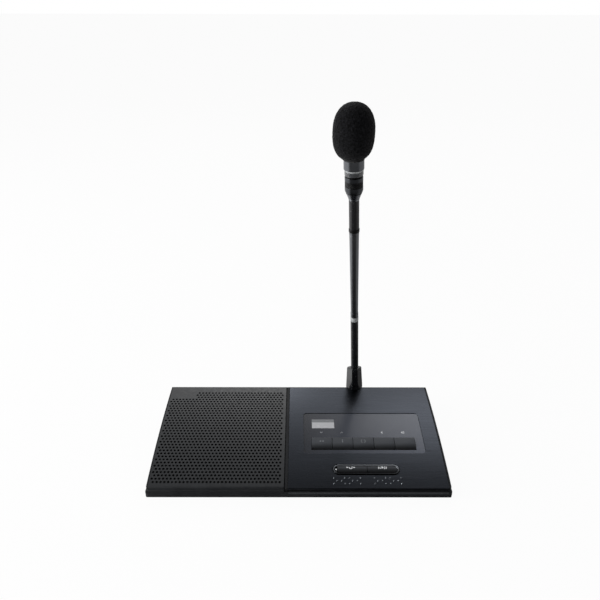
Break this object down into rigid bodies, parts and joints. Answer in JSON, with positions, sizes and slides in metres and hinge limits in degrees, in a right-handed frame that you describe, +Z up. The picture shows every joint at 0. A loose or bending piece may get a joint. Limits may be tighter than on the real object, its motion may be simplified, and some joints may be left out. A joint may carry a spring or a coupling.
{
  "type": "conference microphone unit",
  "caption": "Desk microphone unit with a wedge base, perforated loudspeaker grille, panel with display and keys, talk keys and a flexible stem with a foam windscreen.",
  "frame": {"origin": "centre of the footprint, on the desk", "axes": "+Z up, along the stem; -Y towards the user; +X to the user's right"},
  "size_m": [0.2396, 0.1236, 0.2862],
  "materials": {
    "housing": "fine moulded texture",
    "grille": "matt dark grey",
    "plate": "brushed, dark blue-grey anodised",
    "panel": "glossy grey",
    "window": "clear window over a grey display",
    "keys": "satin black",
    "bezel": "satin dark grey",
    "light": "white light pipe",
    "display": "display cell",
    "board": "green circuit board",
    "parts": "black components",
    "ribbon": "flat cable",
    "steel": "plain steel",
    "socket": "plated shell",
    "rubber": "black rubber",
    "cone": "black paper cone",
    "boot": "semi-gloss black",
    "neck": "satin black coated",
    "ring": "satin dark grey",
    "light_ring": "smoky translucent",
    "capsule": "plain",
    "foam": "open-cell foam"
  },
  "bodies": {
    "base": {"bottom_housing": "housing", "upper_frame": "housing", "rear_panel": "housing", "speaker_grille": "grille", "control_plate": "plate", "control_panel": "panel", "display_window": "window", "display_module": "display", "function_switches": "parts", "talk_bezel": "bezel", "talk_switches": "parts", "talk_light": "light", "tactile_dots": "plate", "key_board": "board", "main_board": "board", "board_parts": "parts", "board_ribbon": "ribbon", "board_screws": "steel", "network_sockets": "socket", "headphone_jack": "parts", "speaker_basket": "steel", "speaker_magnet": "steel", "speaker_gasket": "rubber", "speaker_screws": "steel", "ballast_plate": "steel", "rubber_feet": "rubber", "housing_screws": "steel", "mic_boot": "boot", "boot_set_screw": "steel", "mic_socket": "socket", "neck_plug": "neck"},
    "stem": {"lower_ferrule": "ring", "middle_tube": "neck", "middle_collar": "neck"},
    "head": {"neck_cone": "ring", "head_band": "ring", "light_ring": "light_ring", "head_barrel": "ring", "mic_capsule": "capsule"},
    "speaker_cone": {"speaker_cone": "cone", "speaker_dust_cap": "cone"},
    "function_key_1": {"function_key_1": "keys"},
    "function_key_2": {"function_key_2": "keys"},
    "function_key_3": {"function_key_3": "keys"},
    "function_key_4": {"function_key_4": "keys"},
    "function_key_5": {"function_key_5": "keys"},
    "talk_key_left": {"talk_key_left": "keys"},
    "talk_key_right": {"talk_key_right": "keys"},
    "lower_neck_1": {"lower_neck_1": "neck"},
    "lower_neck_2": {"lower_neck_2": "neck"},
    "lower_neck_3": {"lower_neck_3": "neck"},
    "lower_neck_4": {"lower_neck_4": "neck"},
    "upper_neck_1": {"upper_neck_1": "neck"},
    "upper_neck_2": {"upper_neck_2": "neck"},
    "lock_ring": {"lock_ring": "ring"},
    "windscreen": {"windscreen": "foam"}
  },
  "joints": [
    {"name": "function_key_1_press", "type": "slide", "parent": "base", "child": "function_key_1", "axis": [0, 0.1756, -0.9845], "range_m": [0, 0.0008], "stiffness_N_per_m": 900, "springref_m": -0.0004},
    {"name": "function_key_2_press", "type": "slide", "parent": "base", "child": "function_key_2", "axis": [0, 0.1756, -0.9845], "range_m": [0, 0.0008], "stiffness_N_per_m": 900, "springref_m": -0.0004},
    {"name": "function_key_3_press", "type": "slide", "parent": "base", "child": "function_key_3", "axis": [0, 0.1756, -0.9845], "range_m": [0, 0.0008], "stiffness_N_per_m": 900, "springref_m": -0.0004},
    {"name": "function_key_4_press", "type": "slide", "parent": "base", "child": "function_key_4", "axis": [0, 0.1756, -0.9845], "range_m": [0, 0.0008], "stiffness_N_per_m": 900, "springref_m": -0.0004},
    {"name": "function_key_5_press", "type": "slide", "parent": "base", "child": "function_key_5", "axis": [0, 0.1756, -0.9845], "range_m": [0, 0.0008], "stiffness_N_per_m": 900, "springref_m": -0.0004},
    {"name": "talk_key_left_press", "type": "slide", "parent": "base", "child": "talk_key_left", "axis": [0, 0.1756, -0.9845], "range_m": [0, 0.0008], "stiffness_N_per_m": 900, "springref_m": -0.0004},
    {"name": "talk_key_right_press", "type": "slide", "parent": "base", "child": "talk_key_right", "axis": [0, 0.1756, -0.9845], "range_m": [0, 0.0008], "stiffness_N_per_m": 900, "springref_m": -0.0004},
    {"name": "speaker_cone_travel", "type": "slide", "parent": "base", "child": "speaker_cone", "axis": [0, -0.1107, 0.9939], "range_m": [-0.0008, 0.0008], "stiffness_N_per_m": 1500},
    {"name": "lower_bend", "type": "hinge", "parent": "base", "child": "lower_neck_1", "pos_m": [0.0505, 0.04919, 0.05653], "axis": [0.9981, 0, 0.061], "range_deg": [-22, 22]},
    {"name": "lower_sway", "type": "hinge", "parent": "lower_neck_1", "child": "lower_neck_2", "pos_m": [0.04987, 0.04754, 0.0669], "axis": [-0.0096, 0.9877, 0.1561], "range_deg": [-22, 22]},
    {"name": "lower_bend_2", "type": "hinge", "parent": "lower_neck_2", "child": "lower_neck_3", "pos_m": [0.04923, 0.0459, 0.07727], "axis": [0.9981, 0, 0.061], "range_deg": [-22, 22]},
    {"name": "lower_sway_2", "type": "hinge", "parent": "lower_neck_3", "child": "lower_neck_4", "pos_m": [0.0486, 0.04425, 0.08764], "axis": [-0.0096, 0.9877, 0.1561], "range_deg": [-22, 22]},
    {"name": "lower_bend_3", "type": "hinge", "parent": "lower_neck_4", "child": "stem", "pos_m": [0.04796, 0.04261, 0.09801], "axis": [0.9981, 0, 0.061], "range_deg": [-22, 22]},
    {"name": "upper_bend", "type": "hinge", "parent": "stem", "child": "upper_neck_1", "pos_m": [0.04199, 0.02711, 0.1957], "axis": [0.9981, 0, 0.061], "range_deg": [-22, 22]},
    {"name": "upper_sway", "type": "hinge", "parent": "upper_neck_1", "child": "upper_neck_2", "pos_m": [0.0415, 0.02584, 0.20365], "axis": [-0.0096, 0.9877, 0.1561], "range_deg": [-22, 22]},
    {"name": "upper_bend_2", "type": "hinge", "parent": "upper_neck_2", "child": "head", "pos_m": [0.04102, 0.02458, 0.21161], "axis": [0.9981, 0, 0.061], "range_deg": [-22, 22]},
    {"name": "lock_ring_turn", "type": "hinge", "parent": "head", "child": "lock_ring", "pos_m": [0.04043, 0.02306, 0.2212], "axis": [-0.0603, -0.1564, 0.9858], "range_deg": [0, 90]},
    {"name": "windscreen_pull", "type": "slide", "parent": "head", "child": "windscreen", "axis": [-0.0603, -0.1564, 0.9858], "range_m": [0, 0.03]}
  ],
  "couplings": [
    {"joint": "lower_bend_2", "follows": "lower_bend", "ratio": 1},
    {"joint": "lower_sway_2", "follows": "lower_sway", "ratio": 1},
    {"joint": "lower_bend_3", "follows": "lower_bend", "ratio": 1},
    {"joint": "upper_bend_2", "follows": "upper_bend", "ratio": 1}
  ]
}
